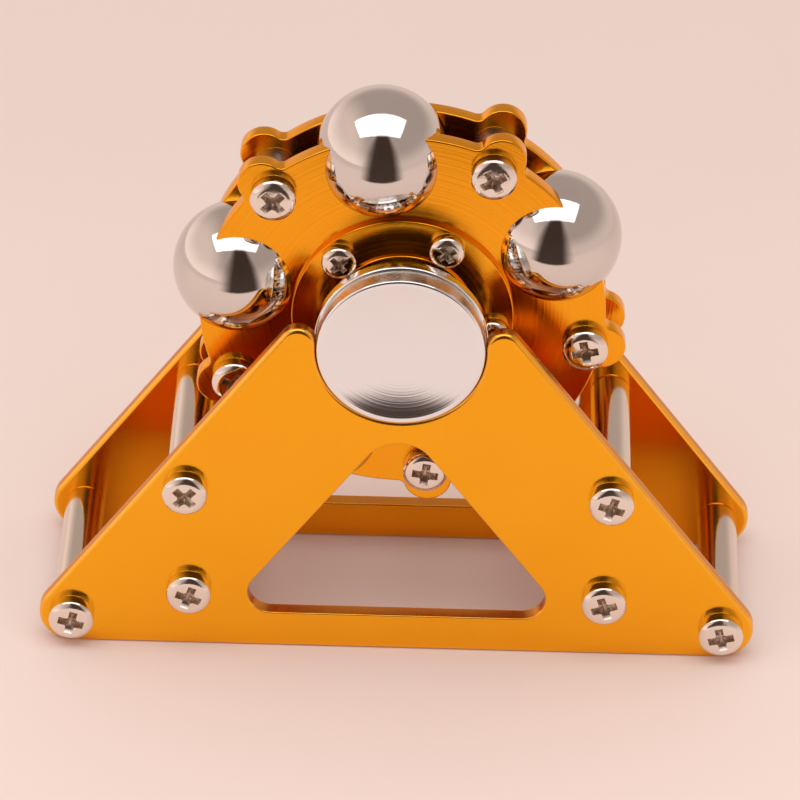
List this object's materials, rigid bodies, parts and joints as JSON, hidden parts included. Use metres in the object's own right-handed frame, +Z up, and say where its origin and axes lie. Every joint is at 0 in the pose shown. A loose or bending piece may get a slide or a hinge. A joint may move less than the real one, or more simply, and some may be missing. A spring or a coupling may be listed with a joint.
{
  "type": "gyroscope on stand",
  "caption": "Desk gyroscope whose gold wheel of large steel balls spins on a ball bearing between finger caps resting in the notches of a gold A-shaped stand with round spacers",
  "frame": {"origin": "on the ground, midway between the stand's plates and midway along the stand", "axes": "+X is to the right seen from the front, along the stand; +Y runs from the front plate to the back plate; +Z is up. The wheel's axis is parallel to Y at z = 43.8 mm."},
  "size_m": [0.088, 0.0298, 0.0718],
  "materials": {
    "anodised_stand": "satin gold-orange anodised aluminium with bright broken edges",
    "anodised_wheel": "satin gold-orange anodised aluminium, turned and milled",
    "polished_spacer": "polished nickel-plated turned bar",
    "plated_screw": "nickel-plated steel screws with cross recesses",
    "turned_cap": "polished turned metal with fine concentric tool rings",
    "weight_ball": "mirror-polished bearing steel",
    "turned_inner": "turned steel with fine tool rings",
    "black_stud": "black-oxide steel",
    "bearing_steel": "ground bearing steel",
    "cage_brass": "plain brass"
  },
  "bodies": {
    "stand": {"front_plate": "anodised_stand", "back_plate": "anodised_stand", "spacer_outer_left": "polished_spacer", "spacer_outer_right": "polished_spacer", "spacer_upper_left": "polished_spacer", "spacer_upper_right": "polished_spacer", "spacer_inner_left": "polished_spacer", "spacer_inner_right": "polished_spacer", "stand_screws_front": "plated_screw", "stand_screws_back": "plated_screw"},
    "axle": {"front_cap": "turned_cap", "back_cap": "turned_cap", "cap_stud": "black_stud", "spacer_ring_front": "turned_inner", "spacer_ring_back": "turned_inner", "bearing_inner_ring": "bearing_steel"},
    "cage": {"bearing_cage": "cage_brass", "bearing_balls": "bearing_steel"},
    "wheel": {"wheel_plate_front": "anodised_wheel", "wheel_plate_back": "anodised_wheel", "hub_cover_front": "anodised_wheel", "hub_cover_back": "anodised_wheel", "hub_ring": "turned_inner", "bearing_outer_ring": "bearing_steel", "bearing_shield_front": "bearing_steel", "bearing_shield_back": "bearing_steel", "weight_ball_1": "weight_ball", "weight_ball_2": "weight_ball", "weight_ball_3": "weight_ball", "weight_ball_4": "weight_ball", "weight_ball_5": "weight_ball", "wheel_post_1": "turned_inner", "wheel_post_2": "turned_inner", "wheel_post_3": "turned_inner", "wheel_post_4": "turned_inner", "wheel_post_5": "turned_inner", "post_screws_front": "plated_screw", "post_screws_back": "plated_screw", "hub_screws_front": "plated_screw", "hub_screws_back": "plated_screw"}
  },
  "joints": [
    {"name": "axle_lift", "type": "slide", "parent": "stand", "child": "axle", "axis": [0, 0, 1], "range_m": [0, 0.034]},
    {"name": "wheel_spin", "type": "hinge", "parent": "axle", "child": "wheel", "pos_m": [0, 0, 0.0438], "axis": [0, 1, 0], "continuous": true},
    {"name": "cage_spin", "type": "hinge", "parent": "axle", "child": "cage", "pos_m": [0, 0, 0.0438], "axis": [0, 1, 0], "continuous": true}
  ],
  "couplings": [
    {"joint": "cage_spin", "follows": "wheel_spin", "ratio": 0.58333}
  ]
}
